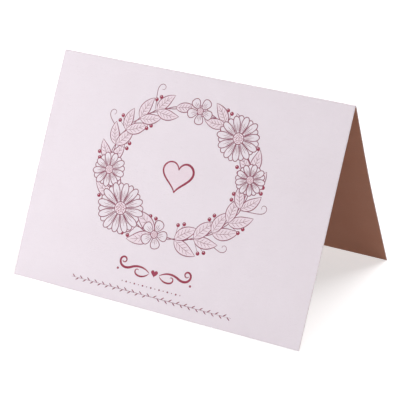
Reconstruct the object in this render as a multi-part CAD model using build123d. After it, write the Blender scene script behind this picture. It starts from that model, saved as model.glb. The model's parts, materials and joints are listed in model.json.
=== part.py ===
"""Greeting card: one sheet of card stock, scored across its middle and folded into a standing tent.

Millimetres. +Z is up, X runs along the fold, and the printed front panel faces -Y.
The origin is on the surface that the card stands on, midway between its feet and midway along them.
"""

import os
from math import cos, radians, sin, sqrt

from build123d import *

# The sheet, as it measures when the card is shut
CARD_WIDTH = 150.0  # along the fold
PANEL_HEIGHT = 110.0  # from the fold's outer edge to the foot
SHEET_THICKNESS = 0.40  # stock of about 300 g/m2

# How the card stands
OPENING_ANGLE = 54.4  # between the two panels, in degrees

# The scored fold
FOLD_INSIDE_RADIUS = 0.25  # of the inner faces about the fold's axis
SCORE_DEPTH = 0.06  # of the groove that the rule pressed into the outside
SCORE_FLAT = 0.55  # the groove's floor on each panel, beyond the round of the fold
SCORE_RAMP = 0.30  # from the groove's floor up to the panel's own face
BEAD_HEIGHT = 0.12  # of the ridge that the score raised on the inside


def folded_section():
    """The sheet's section across the fold, as a face in the YZ plane."""
    lean = radians(OPENING_ANGLE / 2)
    outward = Vector(cos(lean), sin(lean))  # the back panel's outer normal, as (y, z)
    downward = Vector(sin(lean), -cos(lean))  # along the back panel, from fold to foot

    face_offset = FOLD_INSIDE_RADIUS + SHEET_THICKNESS
    score_offset = face_offset - SCORE_DEPTH
    bead_radius = FOLD_INSIDE_RADIUS + BEAD_HEIGHT
    bead_reach = sqrt(bead_radius**2 - FOLD_INSIDE_RADIUS**2)
    foot_reach = PANEL_HEIGHT - score_offset

    # The inner corners of the cut feet are the lowest lines of the card, at z = 0.
    axis = Vector(0, foot_reach * cos(lean) - FOLD_INSIDE_RADIUS * sin(lean))

    def on_panel(offset, reach):
        """The point that far outward from the fold's axis, and that far down the back panel."""
        return axis + outward * offset + downward * reach

    with BuildSketch(Plane.YZ) as section:
        with BuildLine():
            fold = CenterArc(axis, score_offset, 90, OPENING_ANGLE / 2 - 90)
            Polyline(
                fold @ 1,
                on_panel(score_offset, SCORE_FLAT),
                on_panel(face_offset, SCORE_FLAT + SCORE_RAMP),
                on_panel(face_offset, foot_reach),
                on_panel(FOLD_INSIDE_RADIUS, foot_reach),
                on_panel(FOLD_INSIDE_RADIUS, bead_reach),
            )
            RadiusArc(on_panel(FOLD_INSIDE_RADIUS, bead_reach), axis - Vector(0, bead_radius), bead_radius)
            mirror(about=Plane.YZ)
        make_face()
    return section.sketch


def folded_card():
    """The whole card, as one solid."""
    return extrude(folded_section(), amount=CARD_WIDTH / 2, both=True)


if __name__ == "__main__":
    os.makedirs("parts", exist_ok=True)
    export_step(folded_card(), "parts/folded_card.step")
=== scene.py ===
"""The greeting card, dressed: a folded sheet of pale stock, brown inside, with a wreath printed on its front.

Lengths are millimetres, and MM turns them into the scene's metres. Angles are radians.
+X runs along the fold, the front panel faces -Y and +Z is up.
The named values come first, then the sheet, its print, their finishes and the stage.
"""

import json
import random
from math import asin, atan2, cos, pi, radians, sin, sqrt

import bmesh
import bpy
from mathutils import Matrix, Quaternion, Vector
from mathutils.geometry import delaunay_2d_cdt

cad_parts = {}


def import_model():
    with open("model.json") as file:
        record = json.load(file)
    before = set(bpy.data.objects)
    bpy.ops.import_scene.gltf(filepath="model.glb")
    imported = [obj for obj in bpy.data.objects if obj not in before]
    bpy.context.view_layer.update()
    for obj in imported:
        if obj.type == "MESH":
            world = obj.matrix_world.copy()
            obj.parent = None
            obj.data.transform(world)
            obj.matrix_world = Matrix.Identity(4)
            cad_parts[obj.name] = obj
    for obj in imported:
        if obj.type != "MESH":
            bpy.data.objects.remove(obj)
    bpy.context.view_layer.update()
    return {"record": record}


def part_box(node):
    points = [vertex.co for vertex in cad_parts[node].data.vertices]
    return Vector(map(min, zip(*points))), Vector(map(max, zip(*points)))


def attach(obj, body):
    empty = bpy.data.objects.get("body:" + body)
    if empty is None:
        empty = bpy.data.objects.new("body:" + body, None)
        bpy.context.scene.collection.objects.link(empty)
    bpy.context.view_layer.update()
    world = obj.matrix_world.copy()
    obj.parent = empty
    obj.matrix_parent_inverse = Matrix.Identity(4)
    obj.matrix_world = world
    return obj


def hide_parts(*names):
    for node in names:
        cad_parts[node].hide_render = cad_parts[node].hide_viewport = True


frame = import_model()

MM = 0.001

# The sheet, as it was cut, scored and folded
SHEET_THICKNESS = 0.40
FOLD_INSIDE_RADIUS = 0.25
SCORE_DEPTH = 0.06
SCORE_FLAT = 0.55
SCORE_RAMP = 0.30
BEAD_HEIGHT = 0.12
EDGE_SOFTENING = 0.05  # off each arris of the cut edges

# How the panels spring between fold and foot, outward from flat: at the left end and at the right end
FRONT_BULGE = (0.8, 0.1)
BACK_BULGE = (0.3, -1.2)
COCKLE = 0.07  # of the stock's faint waves
COCKLE_WAVES = ((1.3, 0.7, 0.4), (2.1, 1.6, 2.2), (0.6, 2.7, 4.1))  # across the card, down the panel, phase

# The sheet's mesh
GRID_STEP = 2.0
FOLD_STEPS = 12
SHARP_ANGLE = radians(35)  # an edge that turns further stays sharp
OUTER, INNER, CUT = 0, 1, 2  # its finishes, in the order of its material slots

# Its flat layout: the outer face beside the inner one, and the cut edges in rows past their ends
FLAT_MAP = "OFBake"  # the name of the sheet's flat layout
MAP_GAP = 2.0
MAP_BAND = 2.0  # height of each of the cut edge's bands, drawn broader than they are
CUT_BANDS = 3  # the flat of the cut, and a softened arris either side of it

# What the frame gives
_, card_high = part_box("folded_card")
mount_axes = {mount["name"]: mount["axis"] for mount in frame["record"]["mounts"]}
HALF_WIDTH = card_high.x / MM
LEAN = asin(mount_axes["back_panel"][2])  # of each panel, from upright

# Where that puts the fold's axis and the feet
FACE_OFFSET = FOLD_INSIDE_RADIUS + SHEET_THICKNESS
SCORE_OFFSET = FACE_OFFSET - SCORE_DEPTH
BEAD_RADIUS = FOLD_INSIDE_RADIUS + BEAD_HEIGHT
BEAD_REACH = sqrt(BEAD_RADIUS**2 - FOLD_INSIDE_RADIUS**2)
BEAD_SPAN = pi / 2 - LEAN + atan2(FOLD_INSIDE_RADIUS, BEAD_REACH)
AXIS_HEIGHT = card_high.z / MM - SCORE_OFFSET
FOOT_REACH = (AXIS_HEIGHT + FOLD_INSIDE_RADIUS * sin(LEAN)) / cos(LEAN)
MAP_SIDE = 4 * HALF_WIDTH + 3 * MAP_GAP

# The print, as (u, v) on the front panel: u along the fold from its middle, v up the panel from its foot
WREATH_CENTRE = Vector((-1.5, 64.0))
WREATH_RADII = Vector((36.0, 30.0))
FLOWERS = (  # degrees round the wreath, radius, petals, rings of petals
    (262, 7.0, 5, 1),
    (190, 8.2, 9, 2),
    (226, 12.0, 12, 2),
    (84, 6.4, 5, 1),
    (8, 7.4, 9, 2),
    (45, 10.6, 11, 2),
)
TENDRILS = (  # degrees round the wreath, degrees turned from straight out, hand
    (302, 38, 1),
    (340, 30, 1),
    (122, -34, -1),
    (158, -30, -1),
)
HEART_CENTRE = Vector((-1.5, 63.0))
HEART_WIDTH = 15.5
FLOURISH_CENTRE = Vector((-2.0, 17.0))
DOT_ROW = (-17.4, 13.1, 10.2)  # first u, last u, v
LEAF_RULE = (-44.0, 40.0, 6.2)  # first u, last u, v
DICE_SEED = 5  # for the small differences between leaves and between petals

# Its lines
BOLD_WIDTH = 0.44
OUTLINE_WIDTH = 0.38
CURL_WIDTH = 0.30
FINE_WIDTH = 0.19
LINE_SWELL = 0.7  # below 1, a line swells soon after its ends
LINE_TIP = 0.35  # of a line's width, at its ends
SMOOTH_STEP = 0.3  # along a curl
DOT_SIDES = 20  # of a dot with a radius of 1
DOT_LEAST_SIDES = 10

# Its films of ink
INK_LIFT = 0.020  # of the print's top above the stock
INK_SINK = 0.010  # of its underside below the stock's face
LATTICE_STEP = 3.0  # keeps the print's triangles small enough to follow the panel
SAME_PLACE = 0.003  # corners of the print closer than this are one
WHOLE_HULL = 0  # the kind of triangulation that fills the spaces between shapes too

# Its inks, and the lack of one
LINE, ACCENT, TINT = "line", "accent", "tint"
BARE = None

# A leaf
LEAF_STEPS = 14  # along its midrib
LEAF_BREADTH = 0.42  # of its length
LEAF_WIDEST = 0.8  # below 1, nearer to its base than to its tip
LEAF_FULLNESS = 0.9  # below 1, fuller than a plain curve
LEAF_BEND = 0.5  # from its base to its tip
LEAF_SPREAD = radians(42)  # away from the branch
LEAF_SPREAD_CHANCE = 0.10
LEAF_SIZE_CHANCE = 0.08
VEIN_STARTS = (2, 4, 6, 8)  # in steps along the midrib
VEIN_STEPS = 2
VEIN_REACH = 0.72  # of the way from the midrib to the edge
RIB_END = 2  # steps short of the tip

# A petal
PETAL_STEP = 0.24  # round its edge
PETAL_CROWDING = 0.5  # of the points of its edge, towards its round end
PETAL_FOOT = 0.40  # of its breadth, at its base
PETAL_SWELL = 0.75  # of its breadth, gained from its base to its end
PETAL_TIP = 0.75
PETAL_SHADES = ((-1, 0.40), (0, 0.55), (1, 0.44))  # side of its axis, and share of its length
SHADE_START = 0.15  # of its length
SHADE_SPACING = 0.11  # of its breadth
SHADE_FAN = 0.14  # between two shading lines
SHADE_STEPS = 6
SHADE_TIP = 0.2

# A flower, in shares of its radius
FLOWER_MIDDLE = 0.25
PETAL_ROOTS = 0.175  # where the petals start
PETAL_RING = 0.62  # where the petals are as broad as their share of the ring
RING_STEP = 0.04  # shorter, for a ring behind
RING_TURN = 0.5  # of the space between petals, for a ring behind
PETAL_TURN_CHANCE = 0.04
PETAL_LENGTH_CHANCES = (0.94, 1.04)
SEEDS = 22
SEED_RING = 0.20  # of the outermost seeds
SEED_RADIUS = 0.0225
GOLDEN_ANGLE = pi * (3 - sqrt(5))

# A spray of berries
BERRY_STALKS = ((-0.42, 0.86), (0.0, 1.0), (0.40, 0.80))  # turned from the spray, and share of its length
BERRY_BEND = (-0.08, 0.05)  # curvature of a stalk at its start and its end, for each radian it is turned
STALK_TIP = 0.8
BERRY_RADIUS = 0.92
BERRY_SHINE = 0.24  # radius of the bare highlight
BERRY_SHINE_PLACE = (0.42, radians(125))  # from the berry's middle

# The wreath's vine, branches and tendrils
VINE_TWIST = 0.5  # of its two strands, either side of the wreath's line
VINE_TURNS = 13
VINE_STEP = 0.03  # round the wreath
VINE_TIP = 1.0
BRANCH_START = radians(9)  # from the foot of the wreath, on each side
BRANCH_END = radians(166)
LEAF_PAIRS = 10
LEAF_LENGTHS = (13.5, 10.5)  # at the branch's start and at its end
SPRAY_TURN = 1.05  # away from the branch
SPRAY_LENGTH = 0.62  # of a leaf's
TENDRIL_RUNS = ((10.0, -0.06, 0.05), (9.0, 0.10, 1.05))  # length, curvature at the start and at the end
TENDRIL_TIP = 0.5

# The hearts
HEART_POINTS = 72
HEART_RIGHT_WIDTH = 1.10  # of the line round its right half
HEART_RIGHT_TIP = 0.25
HEART_LEFT_WIDTH = 0.80
HEART_LEFT_TIP = 0.35
HEART_HALF = 16  # half the width of the well-known curve that it follows
HEART_WAVES = (13, -5, -2, -1)  # that curve's height: how much of the cosine of 1, 2, 3 and 4 times the angle

# The ornament under the wreath, from its own middle, on its right side
SCROLLS = (  # start, heading, runs as a tendril's, width
    (Vector((2.6, -0.6)), radians(42), ((10.5, -0.13, -0.10), (7.5, 0.10, 0.42), (8.0, 0.42, 1.05)), 1.1),
    (Vector((2.8, -0.9)), radians(-50), ((6.5, 0.16, 0.20), (4.6, 0.34, 1.25)), 0.8),
)
SCROLL_TIP = 0.22
END_DOT = Vector((19.0, -1.6))
END_DOT_RADIUS = 0.55
SMALL_HEART_WIDTH = 3.6
SMALL_HEART_POINTS = 32

# The two small rows at its foot
DOT_SPACING = 2.2
DOT_RADII = (0.26, 0.42)  # in turn
STEM_TIP = 0.5
BLADE_SPACING = 2.0
BLADE_LENGTH = 2.0
BLADE_WIDTH = 0.50
BLADE_SPREAD = radians(38)
BLADE_TIP = 0.15

# Colours as they look in plain light, sRGB from 0 to 255
FRONT_STOCK = (241, 232, 239)
FRONT_STOCK_DRIFT = (238, 228, 235)
FRONT_STOCK_WORN = (222, 209, 212)
INSIDE_BROWN = (171, 123, 103)
INSIDE_BROWN_DRIFT = (164, 114, 93)
INSIDE_BROWN_WORN = (203, 172, 158)
CUT_EDGE = (232, 222, 226)
CUT_EDGE_DRIFT = (212, 196, 196)
INK_COLOURS = {  # each ink's own colour, and what it drifts to
    LINE: ((134, 67, 88), (156, 96, 113)),
    ACCENT: ((143, 42, 67), (166, 74, 95)),
    TINT: ((238, 220, 229), (240, 225, 233)),
}
INK_SLOTS = {LINE: "line_ink", ACCENT: "accent_ink", TINT: "tint_ink"}

# How rough each is, at its smoothest and at its roughest
STOCK_ROUGHNESS = (0.74, 0.88)
INK_ROUGHNESS = (0.62, 0.80)
STOCK_SPECULAR = 0.28

# The stock's fine grain, in waves to the metre, octaves of detail and metres high
NOISE_RANGE = (0.3, 0.7)  # which a noise mostly keeps to
SHEET_CLOUDS = 55
EDGE_CLOUDS = 900
INK_CLOUDS = 300
CLOUD_DETAIL = 3
FIBRE_WAVES = 450
FIBRE_DETAIL = 4
FIBRE_STRETCH = (1, 6, 6)  # the fibres lie along the fold
FIBRE_HEIGHT = 0.00014
TOOTH_WAVES = 3200
TOOTH_DETAIL = 2
TOOTH_HEIGHT = 0.00009
SPECK_SHARE = 0.35  # of the colour's drift that follows the tooth, the rest being clouds

# Wear along the cut edges and the crest of the fold
WEAR_REACH = 0.8
WEAR_WAVES = 1100
WEAR_DETAIL = 4
WEAR_PATCHES = (0.35, 0.65)  # the part of its noise over which it grows
WEAR_MOST = 0.6

# The floor
FLOOR_SIZE = 6.0  # metres
FLOOR_COLOUR = (224, 222, 223)
FLOOR_ROUGHNESS = 0.9
FLOOR_SPECULAR = 0.1
FLOOR_GLOW = 0.55  # only to the eye, straight or in a reflection

# The camera, at the photograph's angle
CAMERA_LENS = 140.0
CAMERA_NEAREST = 0.01  # metres
CAMERA_AZIMUTH = radians(28.3)
CAMERA_ELEVATION = radians(24.7)
CAMERA_ROLL = radians(0.47)
CAMERA_DISTANCE = 736.5
CAMERA_AIM = Vector((-1.75, 0.0, 35.2))

# The light
WHITE = (1, 1, 1, 1)
WORLD_LIGHT = 0.15
SOFT_LAMPS = (  # name, place in metres, size in metres, watts, colour
    ("key_lamp", (-0.62, -0.42, 0.14), 0.35, 4.15, (0.990, 0.992, 1.0)),
    ("fill_lamp", (1.12, -1.42, 0.40), 0.80, 8.6, (1.0, 0.985, 0.972)),
)
OVERHEAD_FROM = (0.12, 0.43, 0.90)  # high, and a little behind the card
OVERHEAD_STRENGTH = 2.45
OVERHEAD_SPREAD = radians(50)


def steps(first, last, step):
    """Evenly spaced values from first to last, about that far apart."""
    count = max(1, round(abs(last - first) / step))
    return [first + (last - first) * k / count for k in range(count + 1)]


def lengths(points):
    """How far along a line of points each one lies."""
    found = [0.0]
    for before, point in zip(points, points[1:]):
        found.append(found[-1] + (Vector(point) - Vector(before)).length)
    return found


def on_panel(side, offset, reach):
    """The (y, z) that far outward from the fold's axis and down a panel. Side is -1 in front, 1 behind."""
    y = offset * cos(LEAN) + reach * sin(LEAN)
    z = AXIS_HEIGHT + offset * sin(LEAN) - reach * cos(LEAN)
    return side * y, z


def bow(side, x, reach):
    """How far the panel stands proud of flat there, fading out at the fold and at the foot."""
    left, right = FRONT_BULGE if side < 0 else BACK_BULGE
    across = x / HALF_WIDTH
    down = reach / FOOT_REACH
    bulge = left + (right - left) * (across + 1) / 2
    waves = sum(sin(pi * (a * across + d * down) + phase + side) for a, d, phase in COCKLE_WAVES)
    return sin(pi * down) * (bulge + COCKLE * waves)


def panel_station(side, x, reach):
    """The outer and inner (y, z) of the sheet, that far down a panel."""
    proud = bow(side, x, reach)
    score = SCORE_DEPTH if reach <= SCORE_FLAT else 0.0
    outer = on_panel(side, FACE_OFFSET - score + proud, reach)
    inner = on_panel(side, FOLD_INSIDE_RADIUS + proud, max(reach, BEAD_REACH))
    return outer, inner


def fold_station(turn):
    """The outer and inner (y, z) of the sheet on the fold, where turn runs from -1 in front to 1 behind."""
    crest = turn * (pi / 2 - LEAN)
    bead = turn * BEAD_SPAN
    outer = (SCORE_OFFSET * sin(crest), AXIS_HEIGHT + SCORE_OFFSET * cos(crest))
    inner = (BEAD_RADIUS * sin(bead), AXIS_HEIGHT - BEAD_RADIUS * cos(bead))
    return outer, inner


def section(x):
    """The sheet's stations at that x, from the front foot over the fold to the back foot."""
    reaches = [FOOT_REACH]
    reaches += steps(FOOT_REACH - EDGE_SOFTENING, SCORE_FLAT + SCORE_RAMP, GRID_STEP)
    reaches += [SCORE_FLAT, 0.0]
    front = [panel_station(-1, x, reach) for reach in reaches]
    fold = [fold_station(turn) for turn in steps(-1, 1, 2 / FOLD_STEPS)[1:-1]]
    back = [panel_station(1, x, reach) for reach in reversed(reaches)]
    return front + fold + back


def rim_path(last_x, last_s):
    """The places on the sheet's grid that lie next to its cut edges, all the way round."""
    path = [(i, 1) for i in range(1, last_x - 1)]
    path += [(last_x - 1, j) for j in range(1, last_s - 1)]
    path += [(i, last_s - 1) for i in range(last_x - 1, 1, -1)]
    path += [(1, j) for j in range(last_s - 1, 1, -1)]
    return path


def on_cut(k, last):
    """The index of the cut edge for one that lies next to it, and any other as it is."""
    if k == 1:
        return 0
    return last if k == last - 1 else k


def cut_places(k, band, low):
    """Where the k-th face of one of the cut edge's bands lies on the flat layout, in rows from low upward."""
    per_row = int((MAP_SIDE - 2 * MAP_GAP) / GRID_STEP)
    row, column = divmod(k, per_row)
    left = MAP_GAP + column * GRID_STEP
    right = left + GRID_STEP
    bottom = low + row * (CUT_BANDS * MAP_BAND + MAP_GAP) + band * MAP_BAND
    top = bottom + MAP_BAND
    return (left, bottom), (right, bottom), (right, top), (left, top)


def sheet_mesh():
    """The whole sheet as one closed mesh: outer face, inner face and the softened cut edges between them."""
    inset = HALF_WIDTH - EDGE_SOFTENING
    xs = [-HALF_WIDTH, *steps(-inset, inset, GRID_STEP), HALF_WIDTH]
    sections = [section(x) for x in xs]
    ups = lengths([outer_point for outer_point, _ in sections[0]])
    last_x = len(xs) - 1
    last_s = len(ups) - 1
    mesh = bmesh.new()
    flat_map = mesh.loops.layers.uv.new(FLAT_MAP)

    def vertex(i, j, depth):
        """A vertex at that x, that station and that share of the thickness from outside."""
        (outer_y, outer_z), (inner_y, inner_z) = sections[i][j]
        y = outer_y + (inner_y - outer_y) * depth
        z = outer_z + (inner_z - outer_z) * depth
        return mesh.verts.new(Vector((xs[i], y, z)) * MM)

    def lay(corners, finish, places):
        """A face between those vertices, with their places on the flat layout."""
        face = mesh.faces.new(corners)
        face.material_index = finish
        for loop, (u, v) in zip(face.loops, places):
            loop[flat_map].uv = (u / MAP_SIDE, v / MAP_SIDE)

    def face_grid(depth, finish, left):
        """One face of the sheet, just short of its cut edges, and that far along the flat layout."""
        grid = {(i, j): vertex(i, j, depth) for i in range(1, last_x) for j in range(1, last_s)}
        for i in range(1, last_x - 1):
            for j in range(1, last_s - 1):
                corners = ((i, j), (i + 1, j), (i + 1, j + 1), (i, j + 1))
                places = [(left + HALF_WIDTH + xs[a], MAP_GAP + ups[b]) for a, b in corners]
                lay([grid[corner] for corner in corners], finish, places)
        return grid

    outer = face_grid(0.0, OUTER, MAP_GAP)
    inner = face_grid(1.0, INNER, 2 * MAP_GAP + 2 * HALF_WIDTH)
    rim = rim_path(last_x, last_s)
    cut = [(on_cut(i, last_x), on_cut(j, last_s)) for i, j in rim]
    soft = EDGE_SOFTENING / SHEET_THICKNESS
    loops = [
        [outer[place] for place in rim],
        [vertex(i, j, soft) for i, j in cut],
        [vertex(i, j, 1 - soft) for i, j in cut],
        [inner[place] for place in rim],
    ]
    for band, (upper, lower) in enumerate(zip(loops, loops[1:])):
        for k in range(len(rim)):
            after = (k + 1) % len(rim)
            corners = (upper[k], upper[after], lower[after], lower[k])
            lay(corners, CUT, cut_places(k, band, 2 * MAP_GAP + ups[-1]))
    return finished(mesh, "card_sheet")


def finished(mesh, name):
    """The bmesh as an object, with its faces turned outward and smooth up to its real edges."""
    bmesh.ops.recalc_face_normals(mesh, faces=mesh.faces)
    data = bpy.data.meshes.new(name)
    mesh.to_mesh(data)
    mesh.free()
    data.shade_smooth()
    data.set_sharp_from_angle(angle=SHARP_ANGLE)
    piece = bpy.data.objects.new(name, data)
    bpy.context.scene.collection.objects.link(piece)
    return piece


class Drawing:
    """Shapes laid down in order, each covering what lies under it."""

    def __init__(self):
        self.outlines = []
        self.inks = []

    def fill(self, outline, ink):
        """A filled outline, or one left bare."""
        ahead = outline[1:] + outline[:1]
        area = sum(a.x * b.y - b.x * a.y for a, b in zip(outline, ahead))
        self.outlines.append(outline if area > 0 else outline[::-1])
        self.inks.append(ink)

    def stroke(self, path, width, ink, tip=LINE_TIP):
        """A pen line, which swells from tip times its width at both ends to its full width midway."""
        count = len(path) - 1
        lefts, rights = [], []
        for k, (point, normal) in enumerate(zip(path, normals(path))):
            swell = max(0.0, sin(pi * k / count)) ** LINE_SWELL
            half = width / 2 * (tip + (1 - tip) * swell)
            lefts.append(point + normal * half)
            rights.append(point - normal * half)
        for k in range(count):
            self.fill([lefts[k], rights[k], rights[k + 1], lefts[k + 1]], ink)

    def dot(self, centre, radius, ink):
        """A round dot, with more sides the larger it is."""
        sides = max(DOT_LEAST_SIDES, round(DOT_SIDES * sqrt(radius)))
        self.fill([centre + polar(radius, 2 * pi * k / sides) for k in range(sides)], ink)


def polar(radius, angle):
    """That far out at that angle, counted from +u towards +v."""
    return Vector((radius * cos(angle), radius * sin(angle)))


def normals(path):
    """The unit normal to the left of a path at each of its points."""
    found = []
    for k in range(len(path)):
        ahead = path[min(k + 1, len(path) - 1)] - path[max(k - 1, 0)]
        found.append(Vector((-ahead.y, ahead.x)).normalized())
    return found


def turning_line(start, heading, runs, step):
    """A line drawn by turning as it goes. A run is its length, and its curvature at its start and its end."""
    path = [start]
    for length, begin, end in runs:
        count = max(2, round(length / step))
        for k in range(count):
            heading += (begin + (end - begin) * (k + 0.5) / count) * length / count
            path.append(path[-1] + polar(length / count, heading))
    return path


def on_wreath(angle, out=0.0):
    """The point of the wreath's oval at that angle, or that far outside it."""
    across = (WREATH_RADII.x + out) * cos(angle)
    up = (WREATH_RADII.y + out) * sin(angle)
    return WREATH_CENTRE + Vector((across, up))


def leaf(drawing, base, heading, length, bend):
    """A pointed leaf, tinted, with its two edges, a midrib and veins."""
    rib = turning_line(base, heading, [(length, bend / length, bend / length)], length / LEAF_STEPS)
    shares = [k / LEAF_STEPS for k in range(LEAF_STEPS)]
    swells = [sin(pi * t**LEAF_WIDEST) ** LEAF_FULLNESS for t in shares]
    halves = [length * LEAF_BREADTH / 2 * swell for swell in swells] + [0.0]
    across = normals(rib)
    left = [p + n * h for p, n, h in zip(rib, across, halves)]
    right = [p - n * h for p, n, h in zip(rib, across, halves)]
    drawing.fill(left + right[-2:0:-1], TINT)
    for start in VEIN_STARTS:
        for edge in (left, right):
            end = start + VEIN_STEPS
            tip = rib[end].lerp(edge[end], VEIN_REACH)
            drawing.stroke([rib[start], rib[start].lerp(tip, 0.5), tip], FINE_WIDTH, LINE)
    drawing.stroke(rib[:-RIB_END], FINE_WIDTH, LINE)
    drawing.stroke(left, OUTLINE_WIDTH, LINE)
    drawing.stroke(right, BOLD_WIDTH, LINE)


def petal(drawing, base, heading, length, breadth):
    """A round-ended petal, left bare, with its edge and shading lines at its base."""
    axis = polar(1.0, heading)
    across = Vector((-axis.y, axis.x))
    edge = []
    for turn in steps(0, 2 * pi, PETAL_STEP):
        angle = turn + PETAL_CROWDING * sin(turn)
        along = (1 - cos(angle)) / 2
        half = breadth / 2 * sin(angle) * (PETAL_FOOT + PETAL_SWELL * along)
        edge.append(base + axis * (length * along) + across * half)
    drawing.fill(edge[:-1], BARE)
    for side, reach in PETAL_SHADES:
        root = base + axis * (SHADE_START * length) + across * (side * SHADE_SPACING * breadth)
        end = root + polar(length * reach, heading + side * SHADE_FAN)
        shade = [root.lerp(end, k / SHADE_STEPS) for k in range(SHADE_STEPS + 1)]
        drawing.stroke(shade, FINE_WIDTH, LINE, SHADE_TIP)
    drawing.stroke(edge, OUTLINE_WIDTH, LINE, PETAL_TIP)


def flower(drawing, centre, radius, petals, rings, dice):
    """An open flower: its rings of petals, the hindmost first, and a seeded middle."""
    breadth = 2 * pi * PETAL_RING * radius / petals
    roots = PETAL_ROOTS * radius
    start = dice.uniform(0, 2 * pi)
    for behind in reversed(range(rings)):
        for k in range(petals):
            turn = dice.uniform(-PETAL_TURN_CHANCE, PETAL_TURN_CHANCE)
            heading = start + 2 * pi * (k + RING_TURN * behind) / petals + turn
            length = (radius - roots) * (1 - RING_STEP * behind) * dice.uniform(*PETAL_LENGTH_CHANCES)
            petal(drawing, centre + polar(roots, heading), heading, length, breadth)
    drawing.dot(centre, FLOWER_MIDDLE * radius + OUTLINE_WIDTH / 2, LINE)
    drawing.dot(centre, FLOWER_MIDDLE * radius - OUTLINE_WIDTH / 2, TINT)
    for k in range(SEEDS):
        seed = polar(SEED_RING * radius * sqrt((k + 0.5) / SEEDS), GOLDEN_ANGLE * k)
        drawing.dot(centre + seed, SEED_RADIUS * radius, ACCENT)


def berries(drawing, base, heading, length):
    """Three berries with bare highlights, on stalks that fan out."""
    for turned, share in BERRY_STALKS:
        runs = [(length * share, turned * BERRY_BEND[0], turned * BERRY_BEND[1])]
        stalk = turning_line(base, heading + turned, runs, SMOOTH_STEP)
        drawing.stroke(stalk, FINE_WIDTH, LINE, STALK_TIP)
        drawing.dot(stalk[-1], BERRY_RADIUS, ACCENT)
        drawing.dot(stalk[-1] + polar(*BERRY_SHINE_PLACE), BERRY_SHINE, BARE)


def tendril(drawing, base, heading, hand):
    """A fine curl. Hand is 1 where it winds to the left, and -1 to the right."""
    runs = [(length, hand * begin, hand * end) for length, begin, end in TENDRIL_RUNS]
    drawing.stroke(turning_line(base, heading, runs, SMOOTH_STEP), CURL_WIDTH, LINE, TENDRIL_TIP)


def vine(drawing):
    """Two strands that twist about each other round the wreath."""
    for phase in (0, pi):
        angles = steps(0, 2 * pi, VINE_STEP)
        strand = [on_wreath(angle, VINE_TWIST * sin(VINE_TURNS * angle + phase)) for angle in angles]
        drawing.stroke(strand, OUTLINE_WIDTH, LINE, VINE_TIP)


def branch(drawing, side, dice):
    """Half of the wreath, with leaves from its foot to its top. Side is 1 on the right, -1 on the left."""
    for k in range(LEAF_PAIRS + 1):
        share = k / LEAF_PAIRS
        angle = BRANCH_START + (BRANCH_END - BRANCH_START) * share
        node = on_wreath(side * angle - pi / 2)
        growth = atan2(WREATH_RADII.y * sin(angle), side * WREATH_RADII.x * cos(angle))
        length = LEAF_LENGTHS[0] + (LEAF_LENGTHS[1] - LEAF_LENGTHS[0]) * share
        if k == LEAF_PAIRS:
            leaf(drawing, node, growth, length, 0.0)
            continue
        spray_way = -side if k % 2 else side
        berries(drawing, node, growth + spray_way * SPRAY_TURN, length * SPRAY_LENGTH)
        for way in (-side, side):
            spread = LEAF_SPREAD + dice.uniform(-LEAF_SPREAD_CHANCE, LEAF_SPREAD_CHANCE)
            size = length * dice.uniform(1 - LEAF_SIZE_CHANCE, 1 + LEAF_SIZE_CHANCE)
            leaf(drawing, node, growth + way * spread, size, -way * LEAF_BEND)


def heart_outline(centre, width, count):
    """A heart of that width, from its notch round to its notch."""
    points = []
    for k in range(count + 1):
        t = 2 * pi * k / count
        across = HEART_HALF * sin(t) ** 3
        up = sum(size * cos(times * t) for times, size in enumerate(HEART_WAVES, 1))
        points.append(centre + Vector((across, up)) * (width / (2 * HEART_HALF)))
    return points


def heart(drawing, centre, width):
    """A tinted heart drawn with two brush strokes that meet at its notch and at its tip."""
    edge = heart_outline(centre, width, HEART_POINTS)
    middle = len(edge) // 2
    drawing.fill(edge[:-1], TINT)
    drawing.stroke(edge[: middle + 1], HEART_RIGHT_WIDTH, ACCENT, HEART_RIGHT_TIP)
    drawing.stroke(edge[middle:], HEART_LEFT_WIDTH, ACCENT, HEART_LEFT_TIP)


def flourish(drawing):
    """A pair of scrolls either side of a small heart."""
    for side in (-1, 1):
        for start, heading, runs, width in SCROLLS:
            path = turning_line(start, heading, runs, SMOOTH_STEP)
            placed = [FLOURISH_CENTRE + Vector((side * p.x, p.y)) for p in path]
            drawing.stroke(placed, width, ACCENT, SCROLL_TIP)
        drawing.dot(FLOURISH_CENTRE + Vector((side * END_DOT.x, END_DOT.y)), END_DOT_RADIUS, ACCENT)
    drawing.fill(heart_outline(FLOURISH_CENTRE, SMALL_HEART_WIDTH, SMALL_HEART_POINTS)[:-1], ACCENT)


def small_rules(drawing):
    """A row of dots, and under it a long stem with small leaves that point away from its middle."""
    first, last, height = DOT_ROW
    for k, u in enumerate(steps(first, last, DOT_SPACING)):
        drawing.dot(Vector((u, height)), DOT_RADII[k % 2], LINE)
    first, last, height = LEAF_RULE
    middle = (first + last) / 2
    stem = [Vector((u, height)) for u in steps(first, last, BLADE_SPACING)]
    drawing.stroke(stem, FINE_WIDTH, LINE, STEM_TIP)
    for k, root in enumerate(stem[1:-1]):
        away = 0 if root.x > middle else pi
        spread = BLADE_SPREAD if k % 2 else -BLADE_SPREAD
        blade = turning_line(root, away + spread, [(BLADE_LENGTH, 0, 0)], SMOOTH_STEP)
        drawing.stroke(blade, BLADE_WIDTH, LINE, BLADE_TIP)


def front_design():
    """The whole print, from what lies lowest to what lies on top."""
    drawing = Drawing()
    dice = random.Random(DICE_SEED)
    vine(drawing)
    for degrees, turned, hand in TENDRILS:
        tendril(drawing, on_wreath(radians(degrees)), radians(degrees + turned), hand)
    for side in (-1, 1):
        branch(drawing, side, dice)
    for degrees, radius, petals, rings in FLOWERS:
        flower(drawing, on_wreath(radians(degrees)), radius, petals, rings, dice)
    heart(drawing, HEART_CENTRE, HEART_WIDTH)
    flourish(drawing)
    small_rules(drawing)
    return drawing


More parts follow.
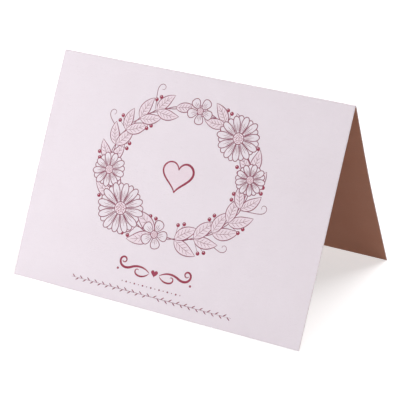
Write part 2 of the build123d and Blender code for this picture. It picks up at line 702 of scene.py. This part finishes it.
def on_front(u, v, lift):
    """The point of the scene at that place on the front panel, that far above its face."""
    reach = FOOT_REACH - v
    y, z = on_panel(-1, FACE_OFFSET + bow(-1, u, reach) + lift, reach)
    return Vector((u, y, z)) * MM


def print_films(drawing):
    """One thin closed film for each ink, from the parts of its shapes that nothing later covers."""
    points = []
    faces = []
    for outline in drawing.outlines:
        faces.append(list(range(len(points), len(points) + len(outline))))
        points += outline
    us = [p.x for p in points]
    vs = [p.y for p in points]
    for u in steps(min(us), max(us), LATTICE_STEP):
        points += [Vector((u, v)) for v in steps(min(vs), max(vs), LATTICE_STEP)]
    corners, _, triangles, _, _, covers = delaunay_2d_cdt(points, [], faces, WHOLE_HULL, SAME_PLACE)
    films = {}
    for triangle, covering in zip(triangles, covers):
        ink = drawing.inks[max(covering)] if covering else BARE
        if ink is not BARE:
            films.setdefault(ink, []).append(triangle)
    return {ink: film(f"print_{ink}", corners, found) for ink, found in sorted(films.items())}


def film(name, corners, triangles):
    """A closed film over those triangles of the front panel."""
    mesh = bmesh.new()
    used = sorted({k for triangle in triangles for k in triangle})
    top = {k: mesh.verts.new(on_front(*corners[k], INK_LIFT)) for k in used}
    under = {k: mesh.verts.new(on_front(*corners[k], -INK_SINK)) for k in used}
    sides = {(a, b) for t in triangles for a, b in zip(t, t[1:] + t[:1])}
    for triangle in triangles:
        mesh.faces.new([top[k] for k in triangle])
        mesh.faces.new([under[k] for k in reversed(triangle)])
    for a, b in sorted(sides):
        if (b, a) not in sides:
            mesh.faces.new((top[b], top[a], under[a], under[b]))
    return finished(mesh, name)


def linear(colour):
    """An sRGB colour, from 0 to 255, as the linear red, green, blue and alpha that shaders take."""
    shares = [c / 255 for c in colour]
    return [c / 12.92 if c <= 0.04045 else ((c + 0.055) / 1.055) ** 2.4 for c in shares] + [1.0]


def fed(tree, socket, value):
    """Gives a socket what another node puts out, or a plain value."""
    if isinstance(value, bpy.types.NodeSocket):
        tree.links.new(value, socket)
    else:
        socket.default_value = value


def noise(tree, waves, detail, stretch=(1, 1, 1)):
    """A noise over the object, with that many waves to the metre, times the stretch along each axis."""
    place = tree.nodes.new("ShaderNodeTexCoord")
    mapping = tree.nodes.new("ShaderNodeMapping")
    mapping.inputs["Scale"].default_value = stretch
    texture = tree.nodes.new("ShaderNodeTexNoise")
    texture.inputs["Scale"].default_value = waves
    texture.inputs["Detail"].default_value = detail
    tree.links.new(place.outputs["Object"], mapping.inputs["Vector"])
    tree.links.new(mapping.outputs["Vector"], texture.inputs["Vector"])
    return texture.outputs["Fac"]


def ranged(tree, value, source=NOISE_RANGE, target=(0.0, 1.0)):
    """A value spread from one range to another, and held there."""
    spread = tree.nodes.new("ShaderNodeMapRange")
    spread.inputs["From Min"].default_value = source[0]
    spread.inputs["From Max"].default_value = source[1]
    spread.inputs["To Min"].default_value = target[0]
    spread.inputs["To Max"].default_value = target[1]
    tree.links.new(value, spread.inputs["Value"])
    return spread.outputs["Result"]


def worked(tree, operation, first, second=0.0):
    """The result of a sum on one or two values."""
    node = tree.nodes.new("ShaderNodeMath")
    node.operation = operation
    fed(tree, node.inputs[0], first)
    fed(tree, node.inputs[1], second)
    return node.outputs["Value"]


def mixed(tree, factor, first, second):
    """A blend of two colours."""
    mix = tree.nodes.new("ShaderNodeMix")
    mix.data_type = "RGBA"
    # By number, because the node has sockets of the same names for numbers and for vectors.
    factor_socket, first_socket, second_socket = mix.inputs[0], mix.inputs[6], mix.inputs[7]
    colour_socket = mix.outputs[2]
    fed(tree, factor_socket, factor)
    fed(tree, first_socket, first)
    fed(tree, second_socket, second)
    return colour_socket


def bumped(tree, height, distance, below=None):
    """A bump of that height in metres, over another if there is one."""
    bump = tree.nodes.new("ShaderNodeBump")
    bump.inputs["Distance"].default_value = distance
    tree.links.new(height, bump.inputs["Height"])
    if below:
        tree.links.new(below, bump.inputs["Normal"])
    return bump.outputs["Normal"]


def wear(tree):
    """0 over most of the sheet, and up to WEAR_MOST in broken patches along its cut edges and its crest."""
    place = tree.nodes.new("ShaderNodeTexCoord")
    axes = tree.nodes.new("ShaderNodeSeparateXYZ")
    tree.links.new(place.outputs["Object"], axes.inputs["Vector"])
    height = axes.outputs["Z"]
    end = card_high.x
    crest = card_high.z
    reach = WEAR_REACH * MM
    near_ends = ranged(tree, worked(tree, "ABSOLUTE", axes.outputs["X"]), (end - reach, end))
    near_foot = ranged(tree, height, (0.0, reach), (1.0, 0.0))
    near_crest = ranged(tree, height, (crest - reach, crest))
    nearest = worked(tree, "MAXIMUM", near_ends, worked(tree, "MAXIMUM", near_foot, near_crest))
    patches = ranged(tree, noise(tree, WEAR_WAVES, WEAR_DETAIL), WEAR_PATCHES, (0.0, WEAR_MOST))
    return worked(tree, "MULTIPLY", nearest, patches)


def stock(name, colour, drift, clouds, rough=STOCK_ROUGHNESS, worn=None):
    """Matte card: a colour that drifts in clouds and specks, over felted fibres and a fine tooth."""
    material = bpy.data.materials.new(name)
    material.use_nodes = True
    tree = material.node_tree
    shader = tree.nodes["Principled BSDF"]
    tooth = noise(tree, TOOTH_WAVES, TOOTH_DETAIL)
    fibres = noise(tree, FIBRE_WAVES, FIBRE_DETAIL, FIBRE_STRETCH)
    cloudy = ranged(tree, noise(tree, clouds, CLOUD_DETAIL))
    broad = worked(tree, "MULTIPLY", cloudy, 1 - SPECK_SHARE)
    specks = worked(tree, "MULTIPLY", ranged(tree, tooth), SPECK_SHARE)
    tint = mixed(tree, worked(tree, "ADD", broad, specks), linear(colour), linear(drift))
    if worn:
        tint = mixed(tree, wear(tree), tint, linear(worn))
    grain = bumped(tree, fibres, FIBRE_HEIGHT)
    tree.links.new(tint, shader.inputs["Base Color"])
    tree.links.new(ranged(tree, tooth, target=rough), shader.inputs["Roughness"])
    tree.links.new(bumped(tree, tooth, TOOTH_HEIGHT, grain), shader.inputs["Normal"])
    shader.inputs["Specular IOR Level"].default_value = STOCK_SPECULAR
    return material


def seen(tree):
    """1 for rays that show the background to the eye, straight or in a reflection, and 0 for the others."""
    rays = tree.nodes.new("ShaderNodeLightPath")
    found = rays.outputs["Is Camera Ray"]
    for kind in ("Is Glossy Ray", "Is Transmission Ray"):
        found = worked(tree, "MAXIMUM", found, rays.outputs[kind])
    return found


def floor():
    """A plain pale floor, which looks white where no shadow falls on it."""
    bpy.ops.mesh.primitive_plane_add(size=FLOOR_SIZE)
    piece = bpy.context.object
    piece.name = "floor"
    material = bpy.data.materials.new("floor")
    material.use_nodes = True
    tree = material.node_tree
    shader = tree.nodes["Principled BSDF"]
    shader.inputs["Base Color"].default_value = linear(FLOOR_COLOUR)
    shader.inputs["Roughness"].default_value = FLOOR_ROUGHNESS
    shader.inputs["Specular IOR Level"].default_value = FLOOR_SPECULAR
    shader.inputs["Emission Color"].default_value = WHITE
    glow = worked(tree, "MULTIPLY", seen(tree), FLOOR_GLOW)
    tree.links.new(glow, shader.inputs["Emission Strength"])
    piece.data.materials.append(material)


def world():
    """Even light from all round, white to the eye."""
    sky = bpy.data.worlds.new("studio")
    bpy.context.scene.world = sky
    sky.use_nodes = True
    tree = sky.node_tree
    background = tree.nodes["Background"]
    background.inputs["Color"].default_value = WHITE
    strength = ranged(tree, seen(tree), (0.0, 1.0), (WORLD_LIGHT, 1.0))
    tree.links.new(strength, background.inputs["Strength"])


def aim(name, light, place):
    """Puts a lamp there, turned to the card's middle."""
    lamp = bpy.data.objects.new(name, light)
    lamp.location = place
    lamp.rotation_mode = "QUATERNION"
    middle = Vector((0, 0, card_high.z / 2))
    lamp.rotation_quaternion = (middle - lamp.location).to_track_quat("-Z", "Y")
    bpy.context.scene.collection.objects.link(lamp)


def lamps():
    """A key and a fill before the card, and broad light from above that reaches its back."""
    for name, place, size, watts, colour in SOFT_LAMPS:
        light = bpy.data.lights.new(name, "AREA")
        light.size = size
        light.energy = watts
        light.color = colour
        aim(name, light, place)
    overhead = bpy.data.lights.new("overhead", "SUN")
    overhead.energy = OVERHEAD_STRENGTH
    overhead.angle = OVERHEAD_SPREAD
    aim("overhead", overhead, OVERHEAD_FROM)


def camera():
    """The photograph's own view."""
    level = cos(CAMERA_ELEVATION)
    back = Vector((sin(CAMERA_AZIMUTH) * level, -cos(CAMERA_AZIMUTH) * level, sin(CAMERA_ELEVATION)))
    data = bpy.data.cameras.new("camera")
    data.lens = CAMERA_LENS
    data.clip_start = CAMERA_NEAREST
    eye = bpy.data.objects.new("camera", data)
    eye.location = (CAMERA_AIM + back * CAMERA_DISTANCE) * MM
    eye.rotation_mode = "QUATERNION"
    eye.rotation_quaternion = (-back).to_track_quat("-Z", "Y") @ Quaternion((0, 0, 1), CAMERA_ROLL)
    bpy.context.scene.collection.objects.link(eye)
    bpy.context.scene.camera = eye


# The card itself
sheet = sheet_mesh()
outside = stock("outside_stock", FRONT_STOCK, FRONT_STOCK_DRIFT, SHEET_CLOUDS, worn=FRONT_STOCK_WORN)
inside = stock("inside_stock", INSIDE_BROWN, INSIDE_BROWN_DRIFT, SHEET_CLOUDS, worn=INSIDE_BROWN_WORN)
edge = stock("cut_edge", CUT_EDGE, CUT_EDGE_DRIFT, EDGE_CLOUDS)
for material in (outside, inside, edge):
    sheet.data.materials.append(material)
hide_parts("folded_card")
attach(sheet, "root")

# Its print
for ink, piece in print_films(front_design()).items():
    colour, drift = INK_COLOURS[ink]
    piece.data.materials.append(stock(INK_SLOTS[ink], colour, drift, INK_CLOUDS, INK_ROUGHNESS))
    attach(piece, "root")

# What it is shown in
floor()
world()
lamps()
camera()
bpy.context.scene.view_settings.view_transform = "Standard"
